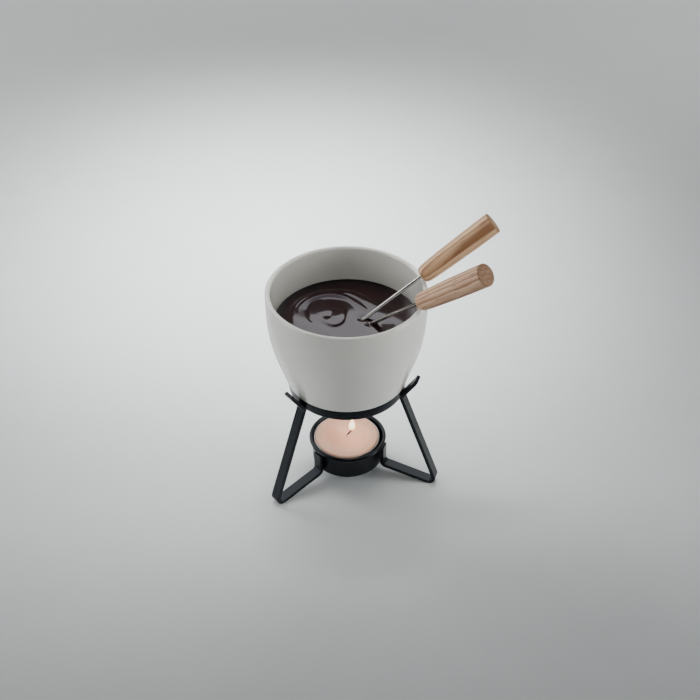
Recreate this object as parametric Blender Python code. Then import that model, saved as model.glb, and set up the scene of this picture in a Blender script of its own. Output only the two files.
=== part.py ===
"""Fondue pot set: a glazed pot on a black three-legged strap stand, over a tealight, with two forks.

Metres, +Z up. The origin is on the table, under the middle of the whole set's outline. Everything
is laid out round the stand's vertical axis, which the empty "stand_axis" marks.
"""
import math

import bmesh
import bpy
from mathutils import Matrix, Vector

# ---------------------------------------------------------------- driving dimensions (metres)
STAND_AXIS = (-0.0180, -0.0050, 0.0)     # where the stand's axis meets the table
GAP = 0.0003                            # clearance between pieces that touch

# Stand: three legs, each one flat bar bent to shape, a hoop under the pot and a candle cup.
LEG_AZIMUTHS = {"leg_front_right": -18.8, "leg_front_left": -140.4, "leg_back": 101.0}
BAR_WIDTH = 0.0060
BAR_THICK = 0.0020
BAR_EDGE = 0.0004                       # rolled edge of the bar
LEG_LEAN = math.radians(20.6)           # the leg leans inwards as it rises
RUN_RISE = math.radians(11.3)           # the run climbs from the foot to the cup
FOOT_RADIUS = 0.0485                    # distance of each foot from the stand's axis
FOOT_BEND = 0.0034
FOOT_FLAT = 0.00015                     # depth of the flat that each foot rests on
LEG_TOP_Z = 0.0589                      # where the leg turns outwards into its arm
LEG_TOP_BEND = 0.0020
ARM_KINK = (0.0390, 0.0702)             # distance from the axis, height
ARM_KINK_BEND = 0.0050
ARM_TIP = (0.0399, 0.0721)
TAB_BEND = 0.0026
TAB_TOP_Z = 0.0187

RING_R = 0.0320
RING_THICK = 0.0021
RING_Z = (0.0596, 0.0660)
RING_EDGE = 0.0009

CUP_R = 0.0200
CUP_WALL = 0.0006
CUP_Z = (0.0061, 0.0212)
CUP_LIP = 0.00105                       # radius of the rolled lip
CUP_CORNER = 0.0012

# Tealight: thin metal can, wax, wick and the wick's metal foot.
TEALIGHT_SHIFT = -0.0005                # it sits a little off centre in the cup, along X
CAN_R = 0.0185
CAN_WALL = 0.0003
CAN_HEIGHT = 0.0131
CAN_CORNER = 0.0008
WAX_TOP_Z = 0.0207
WAX_RIM = 0.0012                        # width of the flat rim round the melted pool
WAX_RIM_EDGE = 0.0005
WAX_SLOPE = 0.0035                      # width of the slope from the rim down to the pool
WAX_SLOPE_LIFT = 0.0002
WAX_POOL_R = 0.0080
WAX_DISH = 0.0015                       # depth of the melted pool
WICK_R = 0.0005
WICK_TOP_Z = 0.0236
WICK_LEAN = 0.0038                      # how far the wick's tip bends over
WICK_TURN = math.radians(20.0)          # the side it bends to, from +X
WICK_STEM = 0.0004                      # the upright part above the pool
WICK_BEND = 1.4                         # 1 would be a straight slant
SUSTAINER_R = 0.0065
SUSTAINER_THICK = 0.0004

# Pot: outer wall as (radius, height) stations, from the shoulder on the hoop up to the lip.
POT_OUTER = ((0.0328, 0.0664), (0.0353, 0.0740), (0.0385, 0.0840), (0.0405, 0.0920),
             (0.0417, 0.1000), (0.0423, 0.1090), (0.0424, 0.1165))
POT_TOP_Z = 0.1217
POT_WALL = 0.0028
POT_BASE_Z = 0.0585
POT_FOOT_R = 0.0290                     # the recessed foot that drops into the hoop
POT_FOOT_EDGE = 0.0010
POT_FOOT_LAND = 0.0050                  # width of the ring that the foot stands on
POT_FOOT_DISH = 0.0008                  # depth of the hollow inside that ring
POT_FOOT_FILLET = 0.0004                # where the foot meets the shoulder
POT_SHOULDER = 0.0008                   # rounding at the shoulder's outer edge
POT_FLOOR_Z = 0.0645
POT_FLOOR_R = 0.0205
POT_CORNER_Z = 0.0735                   # where the inside corner has become the wall
FILL_Z = 0.1004                         # level of the chocolate

# Forks: azimuth and elevation of the axis, and where it crosses the chocolate's level.
FORK_AXES = {"fork_1": (8.2, 38.8, (0.0100, 0.0039)), "fork_2": (-33.0, 40.4, (0.0134, -0.0005))}
FORK_HANDLE_START = {"fork_1": 0.0380, "fork_2": 0.0370}   # along the axis, from that crossing
FORK_LENGTH = 0.1300
HANDLE_LENGTH = 0.0466
HANDLE_RADII = ((0.0026, 0.0), (0.0038, 0.0006), (0.0046, 0.0020), (0.0050, 0.0060),
                (0.0054, 0.0160), (0.0057, 0.0280), (0.0059, 0.0400), (0.0059, 0.0462),
                (0.0055, 0.0466))
SHAFT_R = 0.0010
SHAFT_IN_HANDLE = 0.0240
TINE_LENGTH = 0.0150
TINE_WIDTH = 0.0013
TINE_SPREAD = 0.0028                    # half the fork head's width
HEAD_THICK = 0.0012
HEAD_NECK = 0.0045                      # from the shaft's end to the root of the tines
HEAD_OVERLAP = 0.0030                   # how far the round shaft runs into the flat head
HEAD_CROTCH = (0.0006, 0.0018)          # the shoulder's two corners, above the tines' root
HEAD_TAPER = 0.0004
HEAD_NECK_SHARE = 0.9                   # the neck's half width over the shaft's radius
TINE_POINT = (0.0006, 0.0035)           # how far the point stands in, and how long it is

# The channels that the forks' heads sweep through the chocolate.
SLOT_MARGIN = 0.0014
SLOT_LENGTH = 0.1100
SLOT_BELOW = 0.0020

ROUND = 60                              # facets round the large turned pieces
CUP_ROUND = 48
SMALL_ROUND = 40
HANDLE_ROUND = 28
SUSTAINER_ROUND = 24
SHAFT_ROUND = 16
MERGE = 1e-6                            # points closer than this become one
BEND_STEPS = 6                          # facets in each bend of a leg

# ---------------------------------------------------------------- helpers


def clear_scene():
    for obj in list(bpy.data.objects):
        bpy.data.objects.remove(obj, do_unlink=True)


def make_material(name, color, roughness, metallic=0.0):
    material = bpy.data.materials.new(name)
    material.use_nodes = True
    shader = material.node_tree.nodes["Principled BSDF"]
    shader.inputs["Base Color"].default_value = (*color, 1.0)
    shader.inputs["Roughness"].default_value = roughness
    shader.inputs["Metallic"].default_value = metallic
    return material


def link_mesh(name, bm, material, parent, smooth_angle=35.0):
    bmesh.ops.recalc_face_normals(bm, faces=bm.faces)
    mesh = bpy.data.meshes.new(name)
    bm.to_mesh(mesh)
    bm.free()
    mesh.materials.append(material)
    mesh.shade_smooth()
    mesh.set_sharp_from_angle(angle=math.radians(smooth_angle))
    obj = bpy.data.objects.new(name, mesh)
    bpy.context.scene.collection.objects.link(obj)
    obj.parent = parent
    return obj


def make_empty(name, location, parent=None, rotation=None):
    """An unseen frame; one that a piece slides from lies on that joint's axis."""
    empty = bpy.data.objects.new(name, None)
    empty.empty_display_size = 0.01
    empty.location = location
    if rotation is not None:
        empty.rotation_mode = "QUATERNION"
        empty.rotation_quaternion = rotation.to_quaternion()
    bpy.context.scene.collection.objects.link(empty)
    empty.parent = parent
    return empty


def turned(name, profile, material, parent, facets=ROUND, closed=True):
    """Spin a profile of (radius, height) points about the local Z axis."""
    bm = bmesh.new()
    verts = [bm.verts.new((r, 0.0, z)) for r, z in profile]
    edges = [bm.edges.new(pair) for pair in zip(verts, verts[1:])]
    if closed:
        edges.append(bm.edges.new((verts[-1], verts[0])))
    bmesh.ops.spin(bm, geom=verts + edges, cent=(0, 0, 0), axis=(0, 0, 1),
                   angle=2 * math.pi, steps=facets)
    bmesh.ops.remove_doubles(bm, verts=bm.verts, dist=MERGE)
    bmesh.ops.dissolve_degenerate(bm, edges=bm.edges, dist=MERGE / 10)
    return link_mesh(name, bm, material, parent)


def apply_form(obj, form, operation):
    """Joins a hidden form to an object, or cuts it out: the operation is UNION or DIFFERENCE."""
    form.hide_render = True
    form.display_type = "WIRE"
    modifier = obj.modifiers.new(form.name, "BOOLEAN")
    modifier.operation = operation
    modifier.solver = "EXACT"
    modifier.object = form


def arc(center, radius, start, stop, steps):
    """Points on an arc, angles in degrees, both ends included."""
    angles = [math.radians(start + (stop - start) * i / steps) for i in range(steps + 1)]
    return [(center[0] + radius * math.cos(a), center[1] + radius * math.sin(a)) for a in angles]


def rounded_rectangle(r0, r1, z0, z1, edge, steps=2):
    """A closed profile with rounded corners, anticlockwise."""
    corners = ((r1 - edge, z0 + edge, -90), (r1 - edge, z1 - edge, 0),
               (r0 + edge, z1 - edge, 90), (r0 + edge, z0 + edge, 180))
    points = []
    for r, z, start in corners:
        points += arc((r, z), edge, start, start + 90, steps)
    return points


def smooth_curve(stations, per_span):
    """Points on a Catmull-Rom curve through (radius, height) stations."""
    pts = [Vector(s) for s in stations]
    pts = [2 * pts[0] - pts[1]] + pts + [2 * pts[-1] - pts[-2]]
    out = []
    for a, b, c, d in zip(pts, pts[1:], pts[2:], pts[3:]):
        for i in range(per_span):
            t = i / per_span
            p = 0.5 * (2 * b + (c - a) * t + (2 * a - 5 * b + 4 * c - d) * t ** 2
                       + (3 * b - a - 3 * c + d) * t ** 3)
            out.append((p.x, p.y))
    return out + [tuple(stations[-1])]


def offset_inwards(points, distance):
    """Move a wall's points by a distance along the wall's normal, towards the axis."""
    out = []
    for i, p in enumerate(points):
        before = Vector(points[max(i - 1, 0)])
        after = Vector(points[min(i + 1, len(points) - 1)])
        along = (after - before).normalized()
        out.append((p[0] - along.y * distance, p[1] + along.x * distance))
    return out


# ---------------------------------------------------------------- stand


def strap_outline(corners, bends, thick, steps=BEND_STEPS):
    """Side view of a bar of constant thickness that follows corners with round bends."""
    pts = [Vector(c) for c in corners]
    left, right = [], []
    first = (pts[1] - pts[0]).normalized()
    side = Vector((-first.y, first.x)) * thick / 2
    left.append(pts[0] + side)
    right.append(pts[0] - side)
    for i, bend in enumerate(bends, start=1):
        into = (pts[i] - pts[i - 1]).normalized()
        away = (pts[i + 1] - pts[i]).normalized()
        turn = math.atan2(into.x * away.y - into.y * away.x, into.dot(away))
        hand = math.copysign(1.0, turn)
        normal = Vector((-into.y, into.x)) * hand
        start = pts[i] - into * bend * math.tan(abs(turn) / 2)
        center = start + normal * bend
        for k in range(steps + 1):
            spoke = Matrix.Rotation(turn * k / steps, 2) @ -normal
            left.append(center + spoke * (bend - hand * thick / 2))
            right.append(center + spoke * (bend + hand * thick / 2))
    last = (pts[-1] - pts[-2]).normalized()
    side = Vector((-last.y, last.x)) * thick / 2
    left.append(pts[-1] + side)
    right.append(pts[-1] - side)
    return left + right[::-1]


def leg_corners():
    """Corners of one leg's centre line in its own upright plane, from arm tip to tab."""
    leg_normal = Vector((math.cos(LEG_LEAN), math.sin(LEG_LEAN)))
    run_normal = Vector((-math.sin(RUN_RISE), -math.cos(RUN_RISE)))
    bend_center = Vector((FOOT_RADIUS, FOOT_BEND + BAR_THICK / 2 - FOOT_FLAT))
    middle = (leg_normal + run_normal).normalized()
    foot = bend_center + middle * FOOT_BEND / middle.dot(leg_normal)
    top = Vector((foot.x - (LEG_TOP_Z - foot.y) * math.tan(LEG_LEAN), LEG_TOP_Z))
    tab_r = CUP_R + GAP + BAR_THICK / 2
    tab = Vector((tab_r, foot.y + (foot.x - tab_r) * math.tan(RUN_RISE)))
    return [Vector(ARM_TIP), Vector(ARM_KINK), top, foot, tab, Vector((tab_r, TAB_TOP_Z))]


def build_leg(name, azimuth, material, parent):
    outline = strap_outline(leg_corners(), (ARM_KINK_BEND, LEG_TOP_BEND, FOOT_BEND, TAB_BEND),
                            BAR_THICK)
    bm = bmesh.new()
    ring = [bm.verts.new((p.x, -BAR_WIDTH / 2, p.y)) for p in outline]
    face = bm.faces.new(ring)
    below = bmesh.ops.bisect_plane(bm, geom=[face] + face.edges[:] + face.verts[:],
                                   plane_co=(0, 0, 0), plane_no=(0, 0, -1), clear_outer=True)
    face = next(f for f in below["geom"] if isinstance(f, bmesh.types.BMFace))
    moved = bmesh.ops.extrude_face_region(bm, geom=[face])
    far = [v for v in moved["geom"] if isinstance(v, bmesh.types.BMVert)]
    bmesh.ops.translate(bm, verts=far, vec=(0, BAR_WIDTH, 0))
    obj = link_mesh(name, bm, material, parent)
    obj.rotation_euler = (0, 0, math.radians(azimuth))
    bevel = obj.modifiers.new("rolled_edges", "BEVEL")
    bevel.width = BAR_EDGE
    bevel.segments = 2
    bevel.limit_method = "ANGLE"
    bevel.angle_limit = math.radians(60)
    return obj


def cut_ring_seats(legs, material, parent):
    """A shallow seat in each leg, a gap larger than the ring, where the two are welded."""
    profile = rounded_rectangle(RING_R - RING_THICK - GAP, RING_R + GAP, RING_Z[0] - GAP, RING_Z[1] + GAP,
                                RING_EDGE + GAP)
    form = turned("ring_seat_form", profile, material, parent)
    for leg in legs:
        apply_form(leg, form, "DIFFERENCE")


def build_stand(material, parent):
    legs = [build_leg(name, azimuth, material, parent) for name, azimuth in LEG_AZIMUTHS.items()]
    cut_ring_seats(legs, material, parent)
    profile = rounded_rectangle(RING_R - RING_THICK, RING_R, *RING_Z, RING_EDGE)
    turned("support_ring", profile, material, parent)

    z0, z1 = CUP_Z
    inner = CUP_R - CUP_WALL
    lip = (CUP_R + CUP_LIP - CUP_WALL / 2, z1 - CUP_LIP)
    profile = [(0.0, z0), (CUP_R - CUP_CORNER, z0)]
    profile += arc((CUP_R - CUP_CORNER, z0 + CUP_CORNER), CUP_CORNER, -90, 0, 3)[1:]
    profile += [(CUP_R, z1 - 2 * CUP_LIP - GAP)]
    profile += arc(lip, CUP_LIP, -120, 180, 8)
    profile += [(inner, z0 + CUP_CORNER)]
    profile += [(inner - (CUP_CORNER - CUP_WALL), z0 + CUP_WALL), (0.0, z0 + CUP_WALL)]
    turned("candle_cup", profile, material, parent, CUP_ROUND, closed=False)


# ---------------------------------------------------------------- tealight


def build_tealight(metal, wax, thread, parent):
    z0 = CUP_Z[0] + CUP_WALL + GAP
    inner = CAN_R - CAN_WALL
    profile = [(0.0, z0), (CAN_R - CAN_CORNER, z0), (CAN_R, z0 + CAN_CORNER), (CAN_R, z0 + CAN_HEIGHT),
               (inner, z0 + CAN_HEIGHT), (inner, z0 + CAN_CORNER), (inner - CAN_CORNER, z0 + CAN_WALL),
               (0.0, z0 + CAN_WALL)]
    turned("tealight_can", profile, metal, parent, SMALL_ROUND, closed=False)

    floor = z0 + CAN_WALL + GAP
    hole = WICK_R + GAP
    foot_r = SUSTAINER_R + GAP
    foot_z = floor + SUSTAINER_THICK + GAP
    r = inner - GAP
    profile = [(foot_r, floor), (r - CAN_CORNER, floor), (r, floor + CAN_CORNER),
               (r, WAX_TOP_Z - WAX_RIM_EDGE), (r - WAX_RIM_EDGE, WAX_TOP_Z), (r - WAX_RIM, WAX_TOP_Z)]
    pool = WAX_TOP_Z - WAX_DISH
    profile += [(r - WAX_RIM - WAX_SLOPE, pool + WAX_SLOPE_LIFT), (WAX_POOL_R, pool), (hole, pool),
                (hole, foot_z), (foot_r, foot_z)]
    turned("tealight_wax", profile, wax, parent, SMALL_ROUND)

    top = floor + SUSTAINER_THICK
    profile = [(0.0, floor), (SUSTAINER_R, floor), (SUSTAINER_R, top), (0.0, top)]
    turned("wick_sustainer", profile, metal, parent, SUSTAINER_ROUND, closed=False)
    build_wick(top + GAP, pool, thread, parent)


def build_wick(bottom, pool, thread, parent):
    """The wick stands in the wax and bends over where it burns."""
    curve = bpy.data.curves.new("wick_path", "CURVE")
    curve.dimensions = "3D"
    curve.bevel_depth = WICK_R
    curve.bevel_resolution = 2
    curve.use_fill_caps = True
    straight = [(0.0, 0.0, bottom), (0.0, 0.0, pool), (0.0, 0.0, pool + WICK_STEM)]
    rise = WICK_TOP_Z - straight[-1][2]
    steps = 6
    bent = [(WICK_LEAN * (i / steps) ** WICK_BEND, 0.0, straight[-1][2] + rise * i / steps)
            for i in range(1, steps + 1)]
    spline = curve.splines.new("POLY")
    spline.points.add(len(straight + bent) - 1)
    for point, xyz in zip(spline.points, straight + bent):
        point.co = (*xyz, 1.0)
    wick = bpy.data.objects.new("wick", curve)
    bpy.context.scene.collection.objects.link(wick)
    curve.materials.append(thread)
    wick.rotation_euler = (0, 0, WICK_TURN)
    wick.parent = parent


# ---------------------------------------------------------------- pot and its fill


def pot_wall():
    """Outer wall, shoulder to lip, and the inner wall that follows it."""
    outer = smooth_curve(POT_OUTER, 2)
    inner = [p for p in offset_inwards(outer, POT_WALL) if p[1] > POT_CORNER_Z]
    return outer, inner


def inner_profile():
    """The pot's inside, from the floor's edge round the corner and up the wall."""
    _, wall = pot_wall()
    wall_r, wall_z = wall[0]
    corner = []
    for k in range(5):
        a = math.pi / 2 * k / 5
        corner.append((POT_FLOOR_R + (wall_r - POT_FLOOR_R) * math.sin(a),
                       POT_FLOOR_Z + (wall_z - POT_FLOOR_Z) * (1 - math.cos(a))))
    return corner + wall


def build_pot(glaze, chocolate, parent):
    outer, _ = pot_wall()
    inner = inner_profile()
    lip_r = POT_WALL / 2
    lip = (outer[-1][0] - lip_r, POT_TOP_Z - lip_r)
    seat = RING_Z[1] + GAP
    land = POT_FOOT_R - POT_FOOT_LAND
    profile = [(0.0, POT_BASE_Z + POT_FOOT_DISH), (land, POT_BASE_Z + POT_FOOT_DISH),
               (land + POT_FOOT_DISH, POT_BASE_Z), (POT_FOOT_R - POT_FOOT_EDGE, POT_BASE_Z),
               (POT_FOOT_R, POT_BASE_Z + POT_FOOT_EDGE), (POT_FOOT_R, seat - POT_FOOT_FILLET / 4),
               (POT_FOOT_R + POT_FOOT_FILLET, seat), (POT_OUTER[0][0] - POT_SHOULDER, seat)]
    profile += outer
    profile += arc(lip, lip_r, 0, 180, 6)
    profile += inner[::-1] + [(0.0, POT_FLOOR_Z)]
    turned("pot", profile, glaze, parent, closed=False)

    skin = offset_inwards(inner, GAP)
    low = max(i for i, p in enumerate(skin) if p[1] < FILL_Z)
    share = (FILL_Z - skin[low][1]) / (skin[low + 1][1] - skin[low][1])
    edge = skin[low][0] + share * (skin[low + 1][0] - skin[low][0])
    profile = [(0.0, POT_FLOOR_Z + GAP)] + skin[:low + 1] + [(edge, FILL_Z), (0.0, FILL_Z)]
    return turned("chocolate_fill", profile, chocolate, parent, closed=False)


# ---------------------------------------------------------------- forks


def fork_direction(name):
    azimuth, elevation, _ = FORK_AXES[name]
    a, e = math.radians(azimuth), math.radians(elevation)
    return Vector((math.cos(e) * math.cos(a), math.cos(e) * math.sin(a), math.sin(e)))


def fork_frame(name):
    """Local X spreads the tines, Y is the head's flat side and Z runs up the handle.

    Both heads lie flat in parallel planes, so either fork slides out past the other.
    """
    up = fork_direction(name)
    flat = fork_direction("fork_2").cross(fork_direction("fork_1")).normalized()
    spread = flat.cross(up).normalized()
    return Matrix((spread, flat, up)).transposed()


def tine_head_outline(bottom):
    """Flat fork head seen square on: neck, shoulders, two pointed tines and the slot."""
    half = TINE_SPREAD
    inner = half - TINE_WIDTH
    root = bottom + TINE_LENGTH
    neck = root + HEAD_NECK
    side = [(half, root + HEAD_CROTCH[0]), (half, bottom + TINE_POINT[1]), (half - TINE_POINT[0], bottom),
            (inner, bottom + TINE_POINT[1])]
    slot = arc((0.0, root), inner, 0, 180, 6)
    shoulder = [(half - HEAD_TAPER, root + HEAD_CROTCH[1]), (SHAFT_R * HEAD_NECK_SHARE, neck)]
    right = shoulder[::-1] + side
    return right + slot + [(-x, z) for x, z in side[::-1]] + [(-x, z) for x, z in shoulder]


def build_fork(name, wood, steel, parent):
    start = FORK_HANDLE_START[name]
    tip = start + HANDLE_LENGTH - FORK_LENGTH
    bore = SHAFT_R + GAP
    profile = [(bore, start), (HANDLE_RADII[0][0], start)]
    profile += [(r, start + z) for r, z in HANDLE_RADII[1:]]
    profile += [(0.0, start + HANDLE_LENGTH), (0.0, start + SHAFT_IN_HANDLE + GAP),
                (bore, start + SHAFT_IN_HANDLE + GAP)]
    turned(name + "_handle", profile, wood, parent, HANDLE_ROUND)

    shaft_low = tip + TINE_LENGTH + HEAD_NECK - HEAD_OVERLAP
    shaft_high = start + SHAFT_IN_HANDLE
    bm = bmesh.new()
    bmesh.ops.create_cone(bm, cap_ends=True, segments=SHAFT_ROUND, radius1=SHAFT_R, radius2=SHAFT_R,
                          depth=shaft_high - shaft_low)
    bmesh.ops.translate(bm, verts=bm.verts, vec=(0, 0, (shaft_high + shaft_low) / 2))
    shaft = link_mesh(name + "_tines", bm, steel, parent)

    bm = bmesh.new()
    ring = [bm.verts.new((x, -HEAD_THICK / 2, z)) for x, z in tine_head_outline(tip)]
    moved = bmesh.ops.extrude_face_region(bm, geom=[bm.faces.new(ring)])
    far = [v for v in moved["geom"] if isinstance(v, bmesh.types.BMVert)]
    bmesh.ops.translate(bm, verts=far, vec=(0, HEAD_THICK, 0))
    head = link_mesh(name + "_head_form", bm, steel, parent)
    apply_form(shaft, head, "UNION")


def cut_fork_slot(fill, name, parent):
    """The path that a fork's head sweeps through the chocolate."""
    bm = bmesh.new()
    bmesh.ops.create_cube(bm, size=1.0)
    size = (2 * TINE_SPREAD + SLOT_MARGIN, 2 * SHAFT_R + SLOT_MARGIN, SLOT_LENGTH)
    bmesh.ops.scale(bm, verts=bm.verts, vec=size)
    low = FORK_HANDLE_START[name] + HANDLE_LENGTH - FORK_LENGTH - SLOT_BELOW
    bmesh.ops.translate(bm, verts=bm.verts, vec=(0, 0, low + SLOT_LENGTH / 2))
    form = link_mesh(name + "_slot_form", bm, fill.data.materials[0], parent)
    apply_form(fill, form, "DIFFERENCE")


# ---------------------------------------------------------------- assembly


def main():
    clear_scene()
    black = make_material("black_powder_coat", (0.016, 0.018, 0.020), 0.45, 0.0)
    glaze = make_material("pot_glaze", (0.56, 0.55, 0.52), 0.35)
    chocolate = make_material("melted_chocolate", (0.030, 0.012, 0.010), 0.12)
    wood = make_material("turned_wood", (0.55, 0.34, 0.20), 0.55)
    steel = make_material("fork_steel", (0.60, 0.59, 0.57), 0.25, 1.0)
    can_metal = make_material("can_aluminium", (0.70, 0.70, 0.70), 0.35, 1.0)
    wax = make_material("candle_wax", (0.85, 0.62, 0.54), 0.40)
    thread = make_material("wick_thread", (0.05, 0.04, 0.035), 0.90)

    axis = make_empty("stand_axis", STAND_AXIS)
    build_stand(black, axis)

    tealight = make_empty("tealight_lift_axis", (TEALIGHT_SHIFT, 0, 0), axis)
    build_tealight(can_metal, wax, thread, tealight)

    pot = make_empty("pot_lift_axis", (0, 0, 0), axis)
    fill = build_pot(glaze, chocolate, pot)
    for name, (_, _, (x, y)) in FORK_AXES.items():
        slide = make_empty(name + "_slide_axis", (x, y, FILL_Z), pot, fork_frame(name))
        build_fork(name, wood, steel, slide)
        cut_fork_slot(fill, name, slide)


main()
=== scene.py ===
"""Looks for the fondue pot set: materials, finer shapes, floor, light and camera.

Metres, +Z up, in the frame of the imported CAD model. Sizes come from the CAD nodes wherever they can.
"""
import math

import bmesh
import bpy
import numpy as np
from mathutils import Matrix, Vector


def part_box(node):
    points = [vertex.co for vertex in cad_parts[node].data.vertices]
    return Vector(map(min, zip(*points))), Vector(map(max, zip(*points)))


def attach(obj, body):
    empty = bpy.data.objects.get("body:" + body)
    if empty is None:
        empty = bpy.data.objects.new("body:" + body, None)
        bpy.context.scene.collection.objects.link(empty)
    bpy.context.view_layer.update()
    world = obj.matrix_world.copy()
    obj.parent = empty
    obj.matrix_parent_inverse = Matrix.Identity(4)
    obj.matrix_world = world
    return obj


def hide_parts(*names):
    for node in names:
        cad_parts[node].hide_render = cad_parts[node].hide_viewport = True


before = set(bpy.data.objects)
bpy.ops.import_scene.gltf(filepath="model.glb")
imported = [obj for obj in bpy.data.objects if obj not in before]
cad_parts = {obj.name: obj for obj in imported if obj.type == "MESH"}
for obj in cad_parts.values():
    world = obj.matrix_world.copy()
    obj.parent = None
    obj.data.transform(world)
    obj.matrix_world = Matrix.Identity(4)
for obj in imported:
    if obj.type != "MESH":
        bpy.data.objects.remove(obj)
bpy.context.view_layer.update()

# ---------------------------------------------------------------- sizes taken from the frame
RING_LOW, RING_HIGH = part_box("support_ring")
CUP_LOW, CUP_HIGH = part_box("candle_cup")
POT_LOW, POT_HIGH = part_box("pot")
CAN_LOW, CAN_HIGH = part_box("tealight_can")
WAX_LOW, WAX_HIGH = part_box("tealight_wax")
WICK_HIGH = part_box("wick")[1]
FILL_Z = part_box("chocolate_fill")[1].z
AXIS = Vector(((RING_LOW.x + RING_HIGH.x) / 2, (RING_LOW.y + RING_HIGH.y) / 2, 0.0))
GAP = 0.0003

# Stand: the bent bar, in its own upright plane (distance from the stand's axis, height).
LEG_AZIMUTHS = {"leg_front_right": -18.8, "leg_front_left": -140.4, "leg_back": 101.0}
BAR_WIDTH = 0.0060
BAR_THICK = 0.0020
BAR_EDGE = 0.0004
LEG_LEAN = math.radians(20.6)
RUN_RISE = math.radians(11.3)
FOOT_RADIUS = 0.04845
FOOT_BEND = 0.0034
FOOT_FLAT = 0.00015
LEG_TOP_Z = 0.0589
LEG_TOP_BEND = 0.0020
ARM_KINK = (0.0390, 0.0702)
ARM_KINK_BEND = 0.0050
ARM_TIP = (0.0399, 0.0721)
TAB_BEND = 0.0026
TAB_TOP_Z = 0.0187
RING_THICK = 0.0021
RING_EDGE = 0.0009
CUP_R = 0.0200
CUP_WALL = 0.0006
CUP_LIP = 0.00105
CUP_CORNER = 0.0012
CUP_INNER_CORNER = 0.0008
CUP_BASE_R = 0.0120
CUP_BASE_LIFT = 0.0003
CUP_BASE_STEP = 0.0006
WELD_LENGTH = BAR_WIDTH * 0.8
RING_WELD_R = 0.0006
RING_WELD_TILT = 0.5
TAB_WELD_R = 0.0004

# Tealight
TEALIGHT_X = AXIS.x - 0.0005
CAN_WALL = 0.0003
CAN_CORNER = 0.0008
CAN_BASE_LIFT = 0.0004
WAX_POOL_R = 0.0132
WAX_DISH = 0.0015
WICK_R = 0.0005
WICK_STEM = 0.0004
WICK_LEAN = 0.0038
WICK_TURN = math.radians(20.0)
WICK_BEND = 1.4
WICK_STEPS = 22
WICK_SIDES = 20
WICK_STRANDS = 3
FLAME_HEIGHT = 0.0098
FLAME_R = 0.00200
FLAME_SWAY = 0.0003

# Pot
POT_OUTER = ((0.0328, 0.0664), (0.0353, 0.0740), (0.0385, 0.0840), (0.0405, 0.0920),
             (0.0417, 0.1000), (0.0423, 0.1090), (0.0424, 0.1165))
POT_WALL = 0.0028
POT_FOOT_R = 0.0290
POT_FLOOR_Z = 0.0645
POT_FLOOR_R = 0.0205
POT_CORNER_Z = 0.0735
POT_FOOT_EDGE = 0.0010
POT_FOOT_GROOVE = 0.0008
POT_FOOT_RIM = 0.0034

# Chocolate: how it climbs the wall and dips where a shaft goes in, and two marks left beside fork 2
MENISCUS_RISE = 0.00045
MENISCUS_WIDTH = 0.0009
BOWL_RISE = 0.0007
SHAFT_DIP = 0.0006
SHAFT_DIP_BACK = 0.0010
SHAFT_DIP_REACH = (0.0030, 0.0024)
SWELL_RISE = 0.0011
SWELL_PLACE = (0.0200, -0.0125)
SWELL_REACH = (0.0070, 0.0062)
DIMPLE_DEPTH = 0.00022
DIMPLE_PLACE = (0.0222, -0.0012)
DIMPLE_REACH = (0.0026, 0.0012)

# Forks: azimuth, elevation and the point where the axis meets the chocolate, from the stand's axis.
FORK_AXES = {"fork_1": (8.2, 38.8, (0.0100, 0.0039)), "fork_2": (-33.0, 40.4, (0.0134, -0.0005))}
FORK_HANDLE_START = {"fork_1": 0.0380, "fork_2": 0.0370}
FORK_LENGTH = 0.1300
HANDLE_LENGTH = 0.0466
HANDLE_RADII = ((0.0026, 0.0), (0.0038, 0.0006), (0.0046, 0.0020), (0.0050, 0.0060),
                (0.0054, 0.0160), (0.0057, 0.0280), (0.00583, 0.0400), (0.00583, 0.0460))
HANDLE_EDGE = 0.0005
SHAFT_R = 0.0010
SHAFT_IN_HANDLE = 0.0240
TINE_LENGTH = 0.0150
TINE_WIDTH = 0.0013
TINE_SPREAD = 0.0028
HEAD_THICK = 0.0012
HEAD_EDGE = 0.00035
HEAD_NECK = 0.0045

# Camera, placed from the stand's axis
CAMERA_BACK = 0.50768
CAMERA_HEIGHT = 0.48037
CAMERA_PITCH = math.radians(38.12)
CAMERA_YAW = math.radians(0.19)
CAMERA_ROLL = math.radians(0.36)
CAMERA_LENS = 61.71

# Studio: the floor, and the ring of low lights and pale screen that stand round it
FLOOR_HALF = 3.0
WORLD_STRENGTH = 0.030
WASH_COUNT = 8
WASH_RING = 1.20
WASH_HEIGHT = 0.6
WASH_SIZE = 1.4
WASH_POWER = 3.5
WASH_SPREAD = 62.0
SCREEN_R = 1.65
SCREEN_LOW = -0.01
SCREEN_HIGH = 2.4
SCREEN_GLOW = 0.52

# ---------------------------------------------------------------- camera, floor and light


def make_camera():
    data = bpy.data.cameras.new("camera")
    data.lens = CAMERA_LENS
    data.sensor_width = 36.0
    data.clip_start = 0.01
    camera = bpy.data.objects.new("camera", data)
    bpy.context.scene.collection.objects.link(camera)
    turn = (Matrix.Rotation(-CAMERA_YAW, 4, "Z") @ Matrix.Rotation(math.pi / 2 - CAMERA_PITCH, 4, "X")
            @ Matrix.Rotation(-CAMERA_ROLL, 4, "Z"))
    camera.matrix_world = Matrix.Translation(AXIS + Vector((0, -CAMERA_BACK, CAMERA_HEIGHT))) @ turn
    bpy.context.scene.camera = camera


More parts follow.
